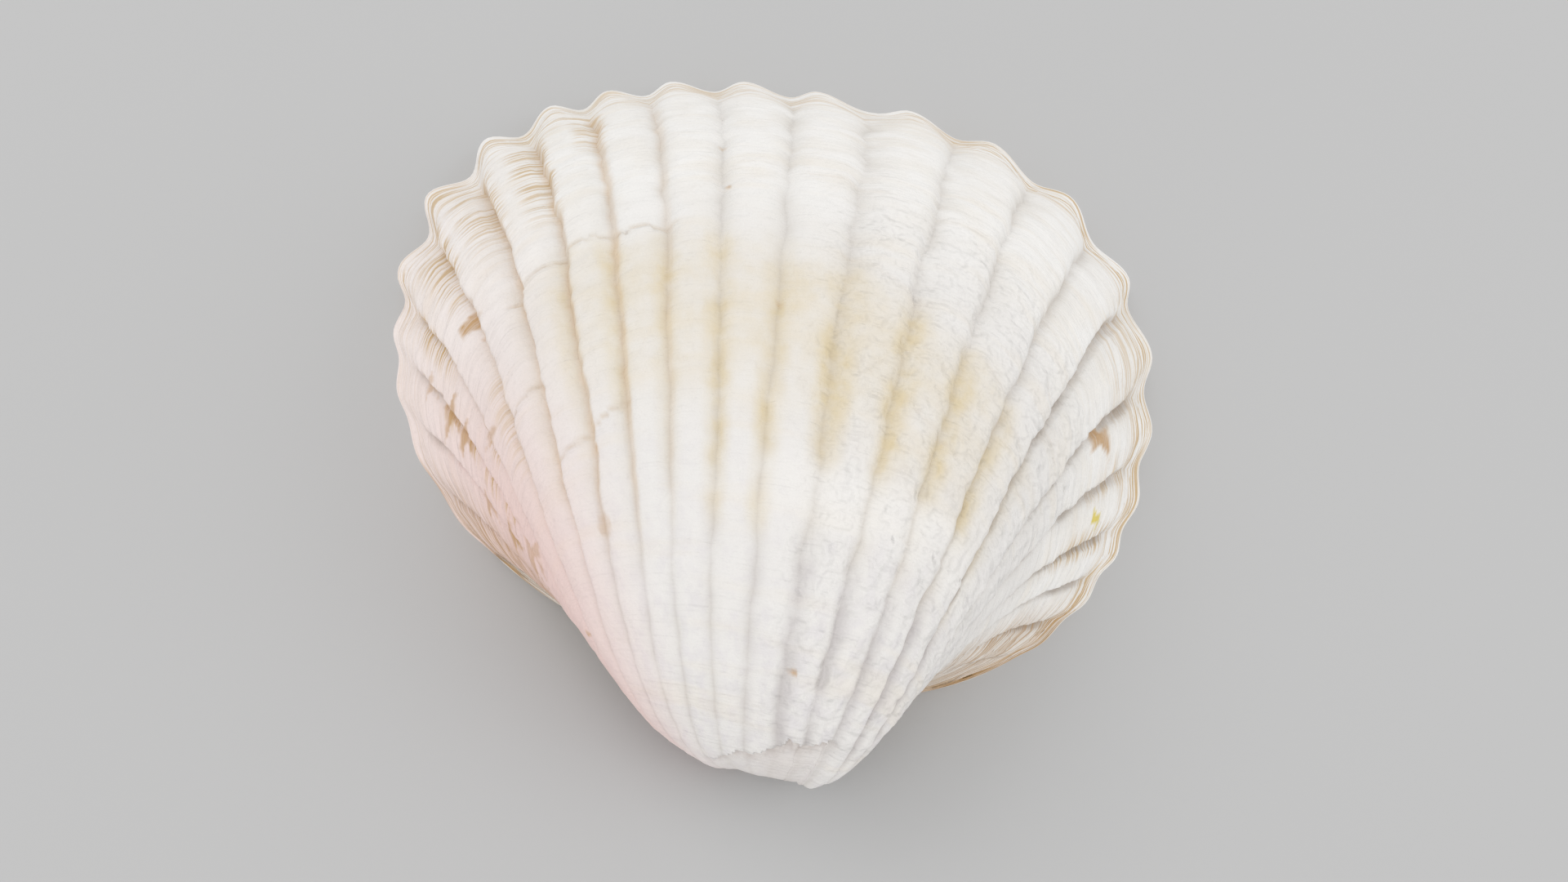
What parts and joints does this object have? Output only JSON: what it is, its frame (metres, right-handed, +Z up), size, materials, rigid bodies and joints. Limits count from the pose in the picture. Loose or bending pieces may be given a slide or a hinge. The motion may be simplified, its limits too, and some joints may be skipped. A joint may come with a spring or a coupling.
{
  "type": "cockle shell",
  "caption": "One ribbed valve of a cockle shell, hollow inside, lying on its scalloped rim with the domed side up.",
  "frame": {"origin": "under the middle of the shell's bounding box, in the flat plane of the rim that it rests on", "axes": "+X along the hinge, +Y from the beak towards the lower scalloped edge, +Z up out of the domed side"},
  "size_m": [0.054, 0.0532, 0.018],
  "materials": {
    "shell": "chalky natural shell outside, matt, cream white with a pink cast and an ochre growth band; porcelain-smooth inside"
  },
  "bodies": {
    "root": {"valve": "shell"}
  },
  "joints": []
}
